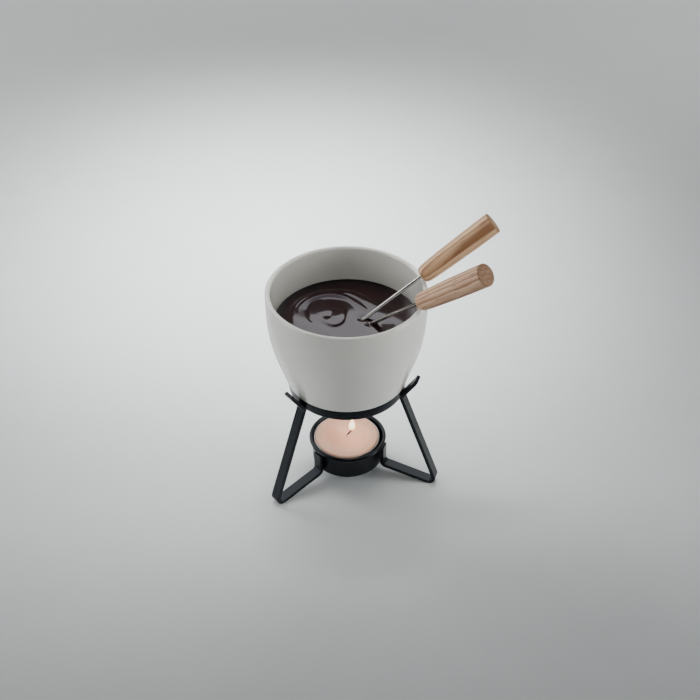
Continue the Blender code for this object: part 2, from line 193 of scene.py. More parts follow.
def area_light(name, place, target, size, power, spread=180.0):
    """A softbox aimed at a target; a smaller spread, in degrees, narrows its pool of light."""
    data = bpy.data.lights.new(name, "AREA")
    data.shape = "RECTANGLE"
    data.size, data.size_y = size
    data.energy = power
    data.spread = math.radians(spread)
    light = bpy.data.objects.new(name, data)
    light.location = AXIS + Vector(place)
    aim = AXIS + Vector(target) - light.location
    light.rotation_euler = aim.to_track_quat("-Z", "Y").to_euler()
    bpy.context.scene.collection.objects.link(light)
    return light


def stage_piece(name, bm, material):
    """Makes a part of the studio, which does not belong to the object."""
    mesh = bpy.data.meshes.new(name)
    bm.to_mesh(mesh)
    bm.free()
    mesh.materials.append(material)
    piece = bpy.data.objects.new(name, mesh)
    bpy.context.scene.collection.objects.link(piece)
    return piece


def make_floor():
    nodes = Nodes("studio_floor")
    grain = nodes.noise(scale=35.0, detail=4.0)
    nodes.color(nodes.ramp(grain, (0.3, (0.725, 0.760, 0.765)), (0.7, (0.745, 0.780, 0.785))))
    nodes.set("Roughness", 0.62)
    nodes.set("Specular IOR Level", 0.25)
    bm = bmesh.new()
    bmesh.ops.create_grid(bm, x_segments=2, y_segments=2, size=FLOOR_HALF)
    stage_piece("floor", bm, nodes.material)


def make_world():
    world = bpy.data.worlds.new("studio_world")
    world.use_nodes = True
    background = world.node_tree.nodes["Background"]
    background.inputs["Color"].default_value = (0.93, 0.97, 1.0, 1.0)
    background.inputs["Strength"].default_value = WORLD_STRENGTH
    bpy.context.scene.world = world


def make_lights():
    area_light("back_softbox", (-0.06, 0.46, 0.45), (-0.06, 0.04, 0.05), (0.80, 0.50), 1.05, spread=125.0)
    area_light("left_softbox", (-0.60, -0.15, 0.22), (0, 0, 0.09), (0.25, 0.35), 0.18, spread=40.0)
    area_light("left_back_softbox", (-0.50, 0.40, 0.45), (-0.05, 0.05, 0.05), (0.40, 0.40), 0.34, spread=60.0)
    area_light("right_softbox", (0.60, -0.10, 0.22), (0, 0, 0.09), (0.25, 0.35), 0.31, spread=40.0)

    # These two light the floor and the pot's front without adding hot spots to the glossy pieces.
    pool = area_light("back_pool", (-0.06, 0.35, 0.75), (-0.05, 0.24, 0.0), (0.30, 0.30), 1.0, spread=36.0)
    fill = area_light("front_softbox", (0.0, -0.60, 0.42), (0, 0, 0.10), (0.40, 0.30), 0.06, spread=30.0)
    pool.visible_glossy = False
    fill.visible_glossy = False

    # A reflector that shows in the chocolate, the glaze and the steel, and lights nothing else.
    card = area_light("gloss_card", (-0.06, 0.42, 0.55), (-0.06, 0.04, 0.05), (0.90, 0.80), 2.9)
    card.visible_diffuse = False


def make_floor_washes():
    """A ring of low overhead lights, so that every side has a pale floor behind it.

    Their spread keeps most of their light off the object.
    """
    for i in range(WASH_COUNT):
        a = 2 * math.pi * i / WASH_COUNT
        x, y = WASH_RING * math.cos(a), WASH_RING * math.sin(a)
        wash = area_light("floor_wash_%d" % i, (x, y, WASH_HEIGHT), (x, y, 0.0),
                          (WASH_SIZE, WASH_SIZE), WASH_POWER, WASH_SPREAD)
        wash.data.shape = "DISK"
        wash.visible_glossy = False
        wash.visible_camera = False


def make_screen():
    """A pale screen round the floor, which is seen but lights nothing."""
    nodes = Nodes("studio_screen")
    nodes.color((0.0, 0.0, 0.0))
    nodes.set("Specular IOR Level", 0.0)
    nodes.set("Emission Color", (0.95, 0.98, 1.0))
    nodes.set("Emission Strength", SCREEN_GLOW)
    bm = turned([(SCREEN_R, SCREEN_LOW), (SCREEN_R, SCREEN_HIGH)], 96, closed=False)
    screen = stage_piece("screen", bm, nodes.material)
    screen.data.shade_smooth()
    screen.visible_diffuse = False
    screen.visible_glossy = False
    screen.visible_transmission = False
    screen.visible_shadow = False


def make_studio():
    make_floor()
    make_world()
    make_lights()
    make_floor_washes()
    make_screen()


# ---------------------------------------------------------------- material nodes


class Nodes:
    """A Principled material and short calls that add and join its nodes."""

    def __init__(self, name):
        self.material = bpy.data.materials.new(name)
        self.material.use_nodes = True
        self.tree = self.material.node_tree
        self.shader = self.tree.nodes["Principled BSDF"]
        self.place = self.add("ShaderNodeTexCoord").outputs["Object"]

    def add(self, kind, **settings):
        node = self.tree.nodes.new(kind)
        for key, value in settings.items():
            setattr(node, key, value)
        return node

    def join(self, source, target):
        self.tree.links.new(source, target)

    def feed(self, node, socket, value):
        """Sets a socket to a number or a colour, or joins another node's output to it."""
        target = node.inputs[socket]
        if isinstance(value, bpy.types.NodeSocket):
            self.join(value, target)
        elif isinstance(value, tuple) and len(value) == 3 and target.type == "RGBA":
            target.default_value = (*value, 1.0)
        else:
            target.default_value = value

    def set(self, socket, value):
        self.feed(self.shader, socket, value)

    def color(self, value):
        self.set("Base Color", value)

    def scaled(self, scale, turn=(0, 0, 0), place=None):
        node = self.add("ShaderNodeMapping")
        node.inputs["Scale"].default_value = scale
        node.inputs["Rotation"].default_value = turn
        self.join(place or self.place, node.inputs["Vector"])
        return node.outputs["Vector"]

    def noise(self, scale, detail=3.0, roughness=0.5, distortion=0.0, place=None):
        node = self.add("ShaderNodeTexNoise")
        self.join(place or self.place, node.inputs["Vector"])
        node.inputs["Scale"].default_value = scale
        node.inputs["Detail"].default_value = detail
        node.inputs["Roughness"].default_value = roughness
        node.inputs["Distortion"].default_value = distortion
        return node.outputs["Fac"]

    def voronoi(self, scale, place=None, feature="F1"):
        node = self.add("ShaderNodeTexVoronoi", feature=feature)
        self.join(place or self.place, node.inputs["Vector"])
        node.inputs["Scale"].default_value = scale
        return node.outputs["Distance"]

    def math(self, operation, a, b=0.0, clamp=False):
        node = self.add("ShaderNodeMath", operation=operation, use_clamp=clamp)
        self.feed(node, 0, a)
        self.feed(node, 1, b)
        return node.outputs[0]

    def ramp(self, factor, *stops, smooth=False):
        node = self.add("ShaderNodeValToRGB")
        ramp = node.color_ramp
        ramp.interpolation = "EASE" if smooth else "LINEAR"
        for i, (position, color) in enumerate(stops):
            stop = ramp.elements[i] if i < 2 else ramp.elements.new(position)
            stop.position = position
            stop.color = (*color, 1.0) if isinstance(color, tuple) else (color, color, color, 1.0)
        self.feed(node, "Fac", factor)
        return node.outputs["Color"]

    def mix(self, factor, a, b, blend="MIX"):
        node = self.add("ShaderNodeMix", data_type="RGBA", blend_type=blend)
        self.feed(node, 0, factor)
        self.feed(node, 6, a)
        self.feed(node, 7, b)
        return node.outputs[2]

    def range(self, value, low, high):
        node = self.add("ShaderNodeMapRange")
        self.feed(node, "Value", value)
        node.inputs["To Min"].default_value = low
        node.inputs["To Max"].default_value = high
        return node.outputs["Result"]

    def bump(self, height, distance, strength=1.0, under=None):
        node = self.add("ShaderNodeBump")
        node.inputs["Strength"].default_value = strength
        node.inputs["Distance"].default_value = distance
        self.feed(node, "Height", height)
        if under is not None:
            self.join(under, node.inputs["Normal"])
        return node.outputs["Normal"]

    def part(self, axis):
        """One coordinate of the object's own space."""
        node = self.add("ShaderNodeSeparateXYZ")
        self.join(self.place, node.inputs[0])
        return node.outputs[axis]


# ---------------------------------------------------------------- materials


def powder_coat():
    """Black satin powder coat: an orange-peel skin with a few dull rubs."""
    n = Nodes("black_powder_coat")
    peel = n.noise(scale=2600.0, detail=2.0)
    swell = n.noise(scale=520.0, detail=2.0)
    rubs = n.noise(scale=120.0, detail=5.0, roughness=0.65)
    n.color(n.ramp(rubs, (0.35, (0.0010, 0.0016, 0.0026)), (0.75, (0.0032, 0.0044, 0.0066))))
    n.set("Roughness", n.range(rubs, 0.24, 0.34))
    n.set("Specular IOR Level", 0.24)
    n.set("Specular Tint", (0.80, 0.90, 1.0, 1.0))
    n.set("Normal", n.bump(peel, 0.00003, 0.35, n.bump(swell, 0.00008, 0.25)))
    return n.material


def pot_glaze():
    """Warm grey-white satin glaze with a faint mottle, pinholes and a slightly wavy skin."""
    n = Nodes("pot_glaze")
    mottle = n.noise(scale=70.0, detail=6.0, roughness=0.6)
    tone = n.ramp(mottle, (0.30, (0.640, 0.640, 0.590)), (0.72, (0.680, 0.680, 0.630)))
    pins = n.ramp(n.voronoi(scale=900.0), (0.03, 0.0), (0.07, 1.0))
    n.color(n.mix(pins, (0.53, 0.52, 0.475), tone))
    n.set("Roughness", n.range(mottle, 0.34, 0.44))
    n.set("Specular IOR Level", 0.35)
    n.set("Coat Weight", 0.9)
    n.set("Coat Roughness", 0.025)
    n.set("Subsurface Weight", 0.06)
    n.set("Subsurface Radius", (0.004, 0.003, 0.002))
    wave = n.noise(scale=85.0, detail=2.0)
    fine = n.noise(scale=1400.0, detail=2.0)
    n.set("Normal", n.bump(fine, 0.00002, 0.25, n.bump(wave, 0.0004, 0.22)))
    return n.material


def melted_chocolate():
    n = Nodes("melted_chocolate")
    cloud = n.noise(scale=90.0, detail=4.0)
    n.color(n.ramp(cloud, (0.3, (0.0100, 0.0010, 0.0020)), (0.7, (0.0170, 0.0022, 0.0036))))
    n.set("Roughness", n.range(cloud, 0.07, 0.12))
    n.set("IOR", 1.48)
    n.set("Specular IOR Level", 0.50)
    n.set("Specular Tint", (0.93, 0.92, 1.0, 1.0))
    n.set("Normal", n.bump(n.noise(scale=300.0, detail=2.0), 0.00003, 0.2))
    return n.material


def turned_wood(name, pale, mid, dark, heart, turn, pore_depth, end):
    """Wood with its grain along the object's Z axis: growth rings, fibres and open pores."""
    n = Nodes(name)
    lean = n.scaled((1, 1, 0.10), turn=(0, 0, turn))
    wander = n.noise(scale=60.0, detail=3.0, place=lean)
    shifted = n.add("ShaderNodeVectorMath", operation="ADD")
    n.join(lean, shifted.inputs[0])
    bend = n.add("ShaderNodeCombineXYZ")
    n.join(n.range(wander, heart - 0.0018, heart + 0.0018), bend.inputs[0])
    n.join(n.range(wander, 0.0016, -0.0016), bend.inputs[1])
    n.join(bend.outputs[0], shifted.inputs[1])
    rings = n.add("ShaderNodeTexWave", wave_type="RINGS", rings_direction="Z", wave_profile="SAW")
    n.join(shifted.outputs[0], rings.inputs["Vector"])
    rings.inputs["Scale"].default_value = 120.0
    rings.inputs["Distortion"].default_value = 4.5
    rings.inputs["Detail"].default_value = 4.0
    rings.inputs["Detail Scale"].default_value = 2.2
    ringed = n.ramp(rings.outputs["Fac"], (0.0, pale), (0.60, mid), (0.95, dark), (1.0, pale))
    broad = n.noise(scale=150.0, detail=2.0, place=n.scaled((1, 1, 0.12), turn=(0, 0, turn)))
    base = n.mix(n.ramp(broad, (0.46, 0.0), (0.62, 0.85)), ringed, dark)
    fibre = n.noise(scale=2300.0, detail=3.0, place=n.scaled((1, 1, 0.035)))
    base = n.mix(n.ramp(fibre, (0.40, 0.0), (0.80, 0.26)), base, dark, blend="MULTIPLY")
    pore_cells = n.voronoi(scale=850.0, place=n.scaled((1, 1, 0.13)))
    pores = n.ramp(pore_cells, (0.14, 1.0), (0.30, 0.0))
    pore_zone = n.ramp(n.noise(scale=260.0, place=n.scaled((1, 1, 0.1))), (0.42, 0.0), (0.56, 1.0))
    pores = n.math("MULTIPLY", pores, pore_zone)
    base = n.mix(n.math("MULTIPLY", pores, pore_depth), base, tuple(c * 0.30 for c in dark))
    end_grain = n.ramp(n.math("DIVIDE", n.part("Z"), end, clamp=True), (0.9935, 0.0), (0.9965, 1.0))
    cut = n.mix(n.ramp(n.noise(scale=1500.0, detail=4.0), (0.35, 0.0), (0.65, 1.0)),
                tuple(c * 0.45 for c in dark), tuple(c * 0.42 for c in mid))
    n.color(n.mix(n.math("MULTIPLY", end_grain, 0.85), base, cut))
    n.set("Roughness", n.mix(end_grain, n.range(fibre, 0.44, 0.62), (0.92, 0.92, 0.92)))
    n.set("Specular IOR Level", 0.40)
    relief = n.math("SUBTRACT", n.math("MULTIPLY", fibre, 0.4), pores)
    n.set("Normal", n.bump(relief, 0.00008, 0.5))
    return n.material


def fork_steel():
    """Drawn stainless rod: fine lines along its length and a few handling marks."""
    n = Nodes("fork_steel")
    lines = n.noise(scale=5200.0, detail=2.0, place=n.scaled((1, 1, 0.02)))
    marks = n.noise(scale=300.0, detail=4.0)
    n.color(n.ramp(marks, (0.3, (0.50, 0.49, 0.47)), (0.75, (0.60, 0.59, 0.57))))
    n.set("Metallic", 1.0)
    n.set("Roughness", n.range(lines, 0.12, 0.22))
    n.set("Normal", n.bump(lines, 0.00001, 0.3))
    return n.material


def can_aluminium():
    n = Nodes("can_aluminium")
    roll = n.noise(scale=900.0, detail=2.0, place=n.scaled((1, 1, 0.05)))
    dents = n.noise(scale=190.0, detail=3.0)
    n.color(n.ramp(dents, (0.3, (0.66, 0.66, 0.665)), (0.7, (0.76, 0.76, 0.765))))
    n.set("Metallic", 1.0)
    n.set("Roughness", n.range(roll, 0.26, 0.42))
    n.set("Normal", n.bump(dents, 0.0002, 0.35, n.bump(roll, 0.00002, 0.3)))
    return n.material


def candle_wax():
    """Blush paraffin, melted clear and glossy near the wick and dull at the edge."""
    n = Nodes("candle_wax")
    reach = n.add("ShaderNodeVectorMath", operation="LENGTH")
    flat = n.scaled((1, 1, 0))
    n.join(flat, reach.inputs[0])
    pool = n.ramp(n.math("DIVIDE", reach.outputs["Value"], WAX_POOL_R, clamp=True),
                  (0.75, 0.0), (1.0, 1.0), smooth=True)
    cloud = n.noise(scale=130.0, detail=5.0, roughness=0.6)
    set_wax = n.ramp(cloud, (0.3, (0.72, 0.46, 0.355)), (0.7, (0.77, 0.52, 0.41)))
    n.color(n.mix(pool, (0.76, 0.49, 0.375), set_wax))
    n.set("Roughness", n.ramp(pool, (0.0, 0.14), (1.0, 0.46)))
    n.set("Subsurface Weight", 0.55)
    n.set("Subsurface Radius", (0.0060, 0.0026, 0.0014))
    n.set("Subsurface Scale", 1.0)
    n.set("IOR", 1.43)
    n.set("Normal", n.bump(n.noise(scale=300.0, detail=4.0), 0.0002, 0.22))
    return n.material


def wick_thread(foot, tip):
    """Braided cotton, waxed below, charred above and glowing at the very tip."""
    n = Nodes("wick_thread")
    high = n.math("DIVIDE", n.math("SUBTRACT", n.part("Z"), foot), tip - foot, clamp=True)
    braid = n.noise(scale=2600.0, detail=2.0)
    waxed = n.ramp(braid, (0.3, (0.45, 0.33, 0.27)), (0.7, (0.60, 0.45, 0.37)))
    char = n.ramp(braid, (0.3, (0.014, 0.006, 0.005)), (0.7, (0.045, 0.018, 0.014)))
    n.color(n.mix(n.ramp(high, (0.22, 0.0), (0.42, 1.0)), waxed, char))
    n.set("Roughness", n.range(braid, 0.75, 0.95))
    n.set("Emission Color", (1.0, 0.28, 0.05))
    n.set("Emission Strength", n.math("MULTIPLY", n.ramp(high, (0.88, 0.0), (1.0, 1.0)), 4.0))
    n.set("Normal", n.bump(braid, 0.0001, 0.8))
    return n.material


def flame_glow(name, height, foot, middle, tip, strength, clear, solid):
    """Glow that changes colour up the flame and fades out towards its foot."""
    n = Nodes(name)
    up = n.math("DIVIDE", n.part("Z"), height, clamp=True)
    n.color((0.0, 0.0, 0.0))
    n.set("Roughness", 1.0)
    n.set("Specular IOR Level", 0.0)
    n.set("Emission Color", n.ramp(up, (0.0, foot), (0.40, middle), (1.0, tip), smooth=True))
    n.set("Emission Strength", n.math("MULTIPLY", n.ramp(up, (0.0, 0.35), (0.35, 1.0)), strength))
    n.set("Alpha", n.ramp(up, (0.0, clear), (0.35, solid), (1.0, solid * 0.7), smooth=True))
    return n.material


# ---------------------------------------------------------------- mesh helpers


def finish_piece(name, bm, material, body, nodes=(), angle=40.0, matrix=None):
    """Makes an object of a bmesh, shades it smooth and ties it to its body."""
    bmesh.ops.recalc_face_normals(bm, faces=bm.faces)
    mesh = bpy.data.meshes.new(name)
    bm.to_mesh(mesh)
    bm.free()
    mesh.materials.append(material)
    mesh.shade_smooth()
    mesh.set_sharp_from_angle(angle=math.radians(angle))
    piece = bpy.data.objects.new(name, mesh)
    bpy.context.scene.collection.objects.link(piece)
    piece.matrix_world = matrix if matrix is not None else Matrix.Translation(AXIS)
    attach(piece, body)
    if nodes:
        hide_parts(*nodes)
    return piece


def arc(center, radius, start, stop, steps):
    angles = [math.radians(start + (stop - start) * i / steps) for i in range(steps + 1)]
    return [(center[0] + radius * math.cos(a), center[1] + radius * math.sin(a)) for a in angles]


def rounded_rectangle(r0, r1, z0, z1, edge, steps=5):
    points = []
    for r, z, start in ((r1 - edge, z0 + edge, -90), (r1 - edge, z1 - edge, 0),
                        (r0 + edge, z1 - edge, 90), (r0 + edge, z0 + edge, 180)):
        points += arc((r, z), edge, start, start + 90, steps)
    return points


def turned(profile, segments=144, closed=True):
    """Spins (radius, height) points about the local Z axis."""
    bm = bmesh.new()
    verts = [bm.verts.new((r, 0.0, z)) for r, z in profile]
    edges = [bm.edges.new(pair) for pair in zip(verts, verts[1:])]
    if closed:
        edges.append(bm.edges.new((verts[-1], verts[0])))
    bmesh.ops.spin(bm, geom=verts + edges, cent=(0, 0, 0), axis=(0, 0, 1),
                   angle=2 * math.pi, steps=segments)
    bmesh.ops.remove_doubles(bm, verts=bm.verts, dist=1e-6)
    bmesh.ops.dissolve_degenerate(bm, edges=bm.edges, dist=1e-7)
    return bm


def smooth_curve(stations, per_span):
    pts = [Vector(s) for s in stations]
    pts = [2 * pts[0] - pts[1]] + pts + [2 * pts[-1] - pts[-2]]
    out = []
    for a, b, c, d in zip(pts, pts[1:], pts[2:], pts[3:]):
        for i in range(per_span):
            t = i / per_span
            p = 0.5 * (2 * b + (c - a) * t + (2 * a - 5 * b + 4 * c - d) * t ** 2
                       + (3 * b - a - 3 * c + d) * t ** 3)
            out.append((p.x, p.y))
    return out + [tuple(stations[-1])]


def offset_inwards(points, distance):
    out = []
    for i, p in enumerate(points):
        before = Vector(points[max(i - 1, 0)])
        after = Vector(points[min(i + 1, len(points) - 1)])
        along = (after - before).normalized()
        out.append((p[0] - along.y * distance, p[1] + along.x * distance))
    return out


# ---------------------------------------------------------------- stand


def strap_outline(corners, bends, thick, steps=12):
    """Side view of a bar of constant thickness that follows corners with round bends."""
    pts = [Vector(c) for c in corners]
    left, right = [], []
    first = (pts[1] - pts[0]).normalized()
    side = Vector((-first.y, first.x)) * thick / 2
    left.append(pts[0] + side)
    right.append(pts[0] - side)
    for i, bend in enumerate(bends, start=1):
        into = (pts[i] - pts[i - 1]).normalized()
        away = (pts[i + 1] - pts[i]).normalized()
        turn = math.atan2(into.x * away.y - into.y * away.x, into.dot(away))
        hand = math.copysign(1.0, turn)
        normal = Vector((-into.y, into.x)) * hand
        start = pts[i] - into * bend * math.tan(abs(turn) / 2)
        center = start + normal * bend
        for k in range(steps + 1):
            spoke = Matrix.Rotation(turn * k / steps, 2) @ -normal
            left.append(center + spoke * (bend - hand * thick / 2))
            right.append(center + spoke * (bend + hand * thick / 2))
    last = (pts[-1] - pts[-2]).normalized()
    side = Vector((-last.y, last.x)) * thick / 2
    left.append(pts[-1] + side)
    right.append(pts[-1] - side)
    return left + right[::-1]


def leg_corners():
    leg_normal = Vector((math.cos(LEG_LEAN), math.sin(LEG_LEAN)))
    run_normal = Vector((-math.sin(RUN_RISE), -math.cos(RUN_RISE)))
    bend_center = Vector((FOOT_RADIUS, FOOT_BEND + BAR_THICK / 2 - FOOT_FLAT))
    middle = (leg_normal + run_normal).normalized()
    foot = bend_center + middle * FOOT_BEND / middle.dot(leg_normal)
    top = Vector((foot.x - (LEG_TOP_Z - foot.y) * math.tan(LEG_LEAN), LEG_TOP_Z))
    tab_r = CUP_R + GAP + BAR_THICK / 2
    tab = Vector((tab_r, foot.y + (foot.x - tab_r) * math.tan(RUN_RISE)))
    return [Vector(ARM_TIP), Vector(ARM_KINK), top, foot, tab, Vector((tab_r, TAB_TOP_Z))]


def apply_bevel(piece, width, segments, angle):
    """Rounds a piece's sharp edges and keeps the result as its mesh."""
    bevel = piece.modifiers.new("bevel", "BEVEL")
    bevel.width = width
    bevel.segments = segments
    bevel.limit_method = "ANGLE"
    bevel.angle_limit = math.radians(angle)
    bevel.harden_normals = True
    settle(piece)


def settle(piece):
    graph = bpy.context.evaluated_depsgraph_get()
    mesh = bpy.data.meshes.new_from_object(piece.evaluated_get(graph))
    piece.modifiers.clear()
    piece.data = mesh


def plate(outline, thick):
    """A flat outline of (x, z) points, given a thickness along Y."""
    bm = bmesh.new()
    face = bm.faces.new([bm.verts.new((x, -thick / 2, z)) for x, z in outline])
    moved = bmesh.ops.extrude_face_region(bm, geom=[face])
    far = [v for v in moved["geom"] if isinstance(v, bmesh.types.BMVert)]
    bmesh.ops.translate(bm, verts=far, vec=(0, thick, 0))
    return bm


def build_leg(name, azimuth, coat):
    outline = strap_outline(leg_corners(), (ARM_KINK_BEND, LEG_TOP_BEND, FOOT_BEND, TAB_BEND), BAR_THICK)
    bm = plate([(p.x, max(p.y, 0.0)) for p in outline], BAR_WIDTH)
    place = Matrix.Translation(AXIS) @ Matrix.Rotation(math.radians(azimuth), 4, "Z")
    leg = finish_piece(name + "_bar", bm, coat, "stand", (name,), matrix=place)
    apply_bevel(leg, BAR_EDGE * 0.75, 4, 60)


def weld_bead(name, center, length, radius, azimuth, tilt, coat):
    """A short, slightly lumpy fillet of weld under the coat."""
    bm = bmesh.new()
    bmesh.ops.create_uvsphere(bm, u_segments=24, v_segments=16, radius=1.0)
    for v in bm.verts:
        lump = 1 + 0.10 * math.sin(9 * v.co.y + 1.7) * math.cos(7 * v.co.x)
        v.co = Vector((v.co.x * radius, v.co.y * length / 2, v.co.z * radius)) * lump
    place = (Matrix.Translation(AXIS) @ Matrix.Rotation(math.radians(azimuth), 4, "Z")
             @ Matrix.Translation(center) @ Matrix.Rotation(tilt, 4, "Y"))
    finish_piece(name, bm, coat, "stand", matrix=place)


def build_stand():
    coat = powder_coat()
    for name, azimuth in LEG_AZIMUTHS.items():
        build_leg(name, azimuth, coat)
        side = name.replace("leg_", "")
        ring_weld = ((RING_HIGH.x - AXIS.x) + 0.0001, 0, RING_LOW.z + 0.0018)
        weld_bead("ring_weld_" + side, ring_weld, WELD_LENGTH, RING_WELD_R, azimuth, RING_WELD_TILT, coat)
        tab_weld = (CUP_R + 0.0002, 0, TAB_TOP_Z - 0.0004)
        weld_bead("tab_weld_" + side, tab_weld, WELD_LENGTH, TAB_WELD_R, azimuth, 0.0, coat)
    build_hoop(coat)
    build_cup(coat)


def build_hoop(coat):
    outer = RING_HIGH.x - AXIS.x
    profile = rounded_rectangle(outer - RING_THICK, outer, RING_LOW.z, RING_HIGH.z, RING_EDGE)
    finish_piece("support_hoop", turned(profile, 192), coat, "stand", ("support_ring",))


def build_cup(coat):
    z0, z1 = CUP_LOW.z, CUP_HIGH.z
    inner = CUP_R - CUP_WALL
    lip = (CUP_R + CUP_LIP - CUP_WALL / 2, z1 - CUP_LIP)
    profile = [(0.0, z0 + CUP_BASE_LIFT), (CUP_BASE_R, z0 + CUP_BASE_LIFT),
               (CUP_BASE_R + CUP_BASE_STEP, z0), (CUP_R - CUP_CORNER, z0)]
    profile += arc((CUP_R - CUP_CORNER, z0 + CUP_CORNER), CUP_CORNER, -90, 0, 8)[1:]
    profile += [(CUP_R, z1 - 2 * CUP_LIP - GAP)]
    profile += arc(lip, CUP_LIP, -120, 180, 20)
    profile += [(inner, z0 + CUP_CORNER + 0.001)]
    profile += arc((inner - CUP_INNER_CORNER, z0 + CUP_WALL + CUP_INNER_CORNER), CUP_INNER_CORNER, 0, -90, 4)
    profile += [(0.0, z0 + CUP_WALL)]
    finish_piece("candle_cup_shell", turned(profile, 160, closed=False), coat, "stand",
                 ("candle_cup",))


# ---------------------------------------------------------------- tealight


def build_tealight():
    metal = can_aluminium()
    middle = Matrix.Translation((TEALIGHT_X, AXIS.y, 0.0))
    build_can(metal, middle)
    build_wax(middle)
    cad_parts["wick_sustainer"].material_slots[0].material = metal
    build_wick(WAX_HIGH.z - WAX_DISH, middle)
    build_flame()


def build_can(metal, middle):
    r, z0, z1 = (CAN_HIGH.x - CAN_LOW.x) / 2, CAN_LOW.z, CAN_HIGH.z
    corner = CAN_CORNER
    inner = r - CAN_WALL
    inside = z0 + CAN_WALL + CAN_BASE_LIFT
    profile = [(0.0, z0 + CAN_BASE_LIFT), (r * 0.55, z0 + CAN_BASE_LIFT), (r * 0.60, z0), (r - corner, z0)]
    profile += arc((r - corner, z0 + corner), corner, -90, 0, 5)[1:]
    profile += [(r, z1 - 0.0002)] + arc((r - CAN_WALL / 2, z1 - CAN_WALL / 2), CAN_WALL / 2, 0, 180, 6)
    profile += [(inner, z0 + corner), (inner - corner, inside), (0.0, inside)]
    finish_piece("tealight_can_shell", turned(profile, 120, closed=False), metal, "tealight",
                 ("tealight_can",), matrix=middle)


def build_wax(middle):
    top, bottom = WAX_HIGH.z, WAX_LOW.z
    r = (WAX_HIGH.x - WAX_LOW.x) / 2
    stations = [(r - 0.0001, top - 0.0005), (r - 0.0005, top - 0.0001), (r - 0.0012, top - 0.00005),
                (r - 0.0026, top - 0.0003), (WAX_POOL_R, top - 0.0009), (WAX_POOL_R - 0.0030, top - 0.0013),
                (0.0070, top - WAX_DISH), (0.0022, top - WAX_DISH + 0.00005),
                (0.0009, top - WAX_DISH + 0.0003)]
    profile = [(0.0, bottom), (r - CAN_CORNER, bottom), (r, bottom + CAN_CORNER), (r, top - 0.0011)]
    profile += smooth_curve(stations, 5) + [(0.0, top - WAX_DISH + 0.0003)]
    bm = turned(profile, 120, closed=False)
    for v in bm.verts:
        if v.co.z > top - 0.0015:
            a = math.atan2(v.co.y, v.co.x)
            v.co.z += 0.00008 * math.sin(3 * a + 0.7) * math.sin(220 * math.hypot(v.co.x, v.co.y))
    finish_piece("tealight_wax_body", bm, candle_wax(), "tealight", ("tealight_wax",),
                 matrix=middle)


def wick_line(pool):
    """Points up the wick's middle, from inside the wax to its bent tip, about the tealight's axis."""
    points = [Vector((0, 0, pool - 0.0020)), Vector((0, 0, pool)), Vector((0, 0, pool + WICK_STEM / 2))]
    rise = WICK_HIGH.z - WICK_R / 2 - pool - WICK_STEM
    for i in range(WICK_STEPS + 1):
        lean = WICK_LEAN * (i / WICK_STEPS) ** WICK_BEND
        points.append(Vector((lean * math.cos(WICK_TURN), lean * math.sin(WICK_TURN),
                              pool + WICK_STEM + rise * i / WICK_STEPS)))
    return points


def build_wick(pool, middle):
    """A bent thread of three strands, thin where it leaves the wax and drawn in at its tip."""
    points = wick_line(pool)
    bm = bmesh.new()
    rings = []
    sides = WICK_SIDES
    for i, p in enumerate(points):
        ahead = points[min(i + 1, len(points) - 1)] - points[max(i - 1, 0)]
        turn = ahead.to_track_quat("Z", "X").to_matrix()
        taper = 1.0 if i < len(points) - 3 else (0.9, 0.72, 0.35)[i - len(points) + 3]
        thick = 0.62 + 0.28 * min(1.0, i / (0.5 * len(points)))
        ring = []
        for k in range(sides):
            a = 2 * math.pi * k / sides
            r = WICK_R * thick * taper * (1 + 0.10 * math.cos(WICK_STRANDS * a - i * 0.9))
            ring.append(bm.verts.new(p + turn @ Vector((r * math.cos(a), r * math.sin(a), 0))))
        rings.append(ring)
    for low, high in zip(rings, rings[1:]):
        for k in range(sides):
            j = (k + 1) % sides
            bm.faces.new((low[k], low[j], high[j], high[k]))
    bm.faces.new(rings[-1])
    bm.faces.new(rings[0][::-1])
    thread = wick_thread(pool, WICK_HIGH.z)
    finish_piece("wick_braid", bm, thread, "tealight", ("wick",), angle=80, matrix=middle)


def flame_shell(name, girth, low, high, glow, place):
    """A teardrop between two shares of the flame's height."""
    stations = [(0.0, 0.0), (0.40, 0.03), (0.78, 0.13), (0.98, 0.27), (0.95, 0.43), (0.76, 0.62),
                (0.46, 0.80), (0.20, 0.92), (0.0, 1.0)]
    profile = []
    for r, z in smooth_curve(stations, 6):
        profile.append((max(r, 0.0) * FLAME_R * girth, (low + (high - low) * z) * FLAME_HEIGHT))
    bm = turned(profile, 48, closed=False)
    for v in bm.verts:
        v.co.x += FLAME_SWAY * (v.co.z / FLAME_HEIGHT) ** 2
    shell = finish_piece(name, bm, glow, "tealight", matrix=place, angle=180)
    shell.visible_shadow = False
    return shell


def build_flame():
    """A clear orange mantle round a pale core, about the wick's tip, with two small warm lamps."""
    tip = wick_line(WAX_HIGH.z - WAX_DISH)[-1]
    place = Matrix.Translation(Vector((TEALIGHT_X + tip.x - 0.0006, AXIS.y + tip.y, tip.z - 0.0012)))
    mantle = flame_glow("flame_mantle_glow", FLAME_HEIGHT, (1.0, 0.30, 0.05), (1.0, 0.62, 0.24),
                        (1.0, 0.42, 0.12), 3.2, 0.10, 0.50)
    core = flame_glow("flame_core_glow", FLAME_HEIGHT, (1.0, 0.55, 0.20), (1.0, 0.95, 0.92),
                      (1.0, 0.85, 0.65), 4.2, 0.15, 0.90)
    flame_shell("flame_core", 0.74, 0.07, 0.90, core, place)
    flame = flame_shell("flame_mantle", 1.0, 0.0, 1.0, mantle, place)

    flame_lamp("flame_light", flame, (0, 0, FLAME_HEIGHT * 0.55), 0.010, (1.0, 0.62, 0.32))
    flame_lamp("flame_tip_light", flame, (0, -0.0050, FLAME_HEIGHT * 1.3), 0.0016, (1.0, 0.22, 0.06))


